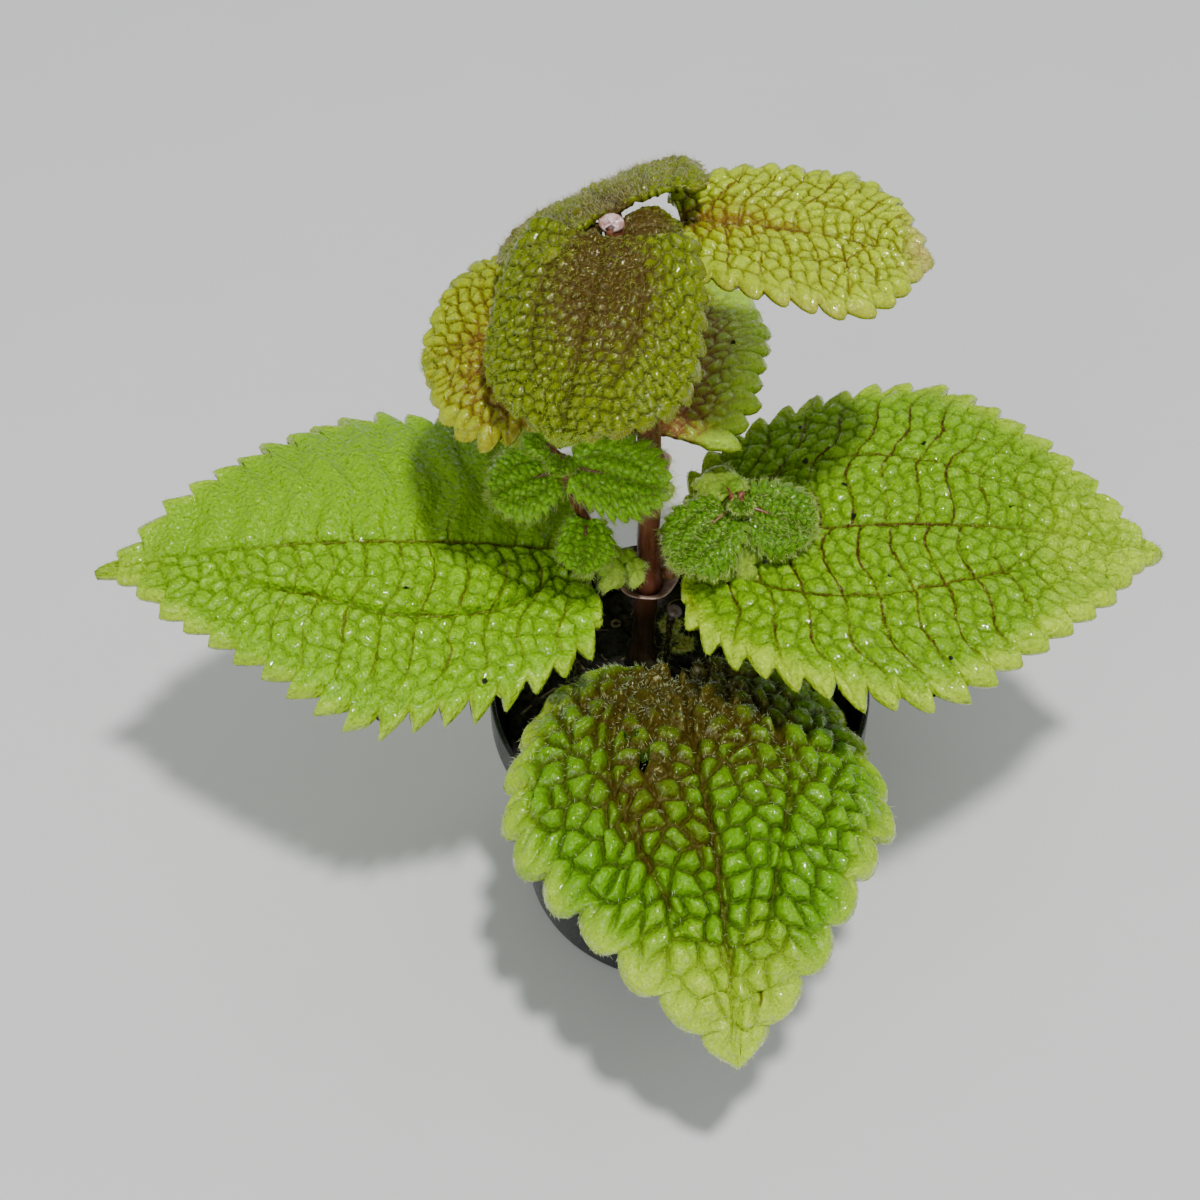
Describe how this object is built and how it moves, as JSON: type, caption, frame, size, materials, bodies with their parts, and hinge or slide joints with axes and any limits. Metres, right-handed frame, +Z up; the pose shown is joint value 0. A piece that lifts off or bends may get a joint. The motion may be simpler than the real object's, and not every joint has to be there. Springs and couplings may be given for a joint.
{
  "type": "potted friendship plant",
  "caption": "Friendship plant with toothed, deeply puckered green leaves in opposite pairs on one leaning stem, standing in soil in a small round nursery pot",
  "frame": {"origin": "centre of the pot's flat underside, on the surface it stands on", "axes": "+Z up the pot's axis; -Y towards the large front leaf that hangs over the rim; +X towards the large right leaf"},
  "size_m": [0.2072, 0.1652, 0.1765],
  "materials": {
    "pot": "near-black moulded plastic with a soft sheen",
    "soil": null,
    "stem": null,
    "leaf": null,
    "young_leaf": null,
    "bud": null
  },
  "bodies": {
    "root": {"pot": "pot", "soil": "soil", "main_stem": "stem", "leaf_front": "leaf", "leaf_left": "leaf", "leaf_right": "leaf", "leaf_back": "leaf", "leaf_upper_left": "young_leaf", "leaf_upper_right": "young_leaf", "leaf_crown_front": "young_leaf", "leaf_crown_back": "young_leaf", "crown_bud": "bud", "shoot_left": "leaf", "shoot_right": "leaf", "shoot_base": "young_leaf"}
  },
  "joints": []
}
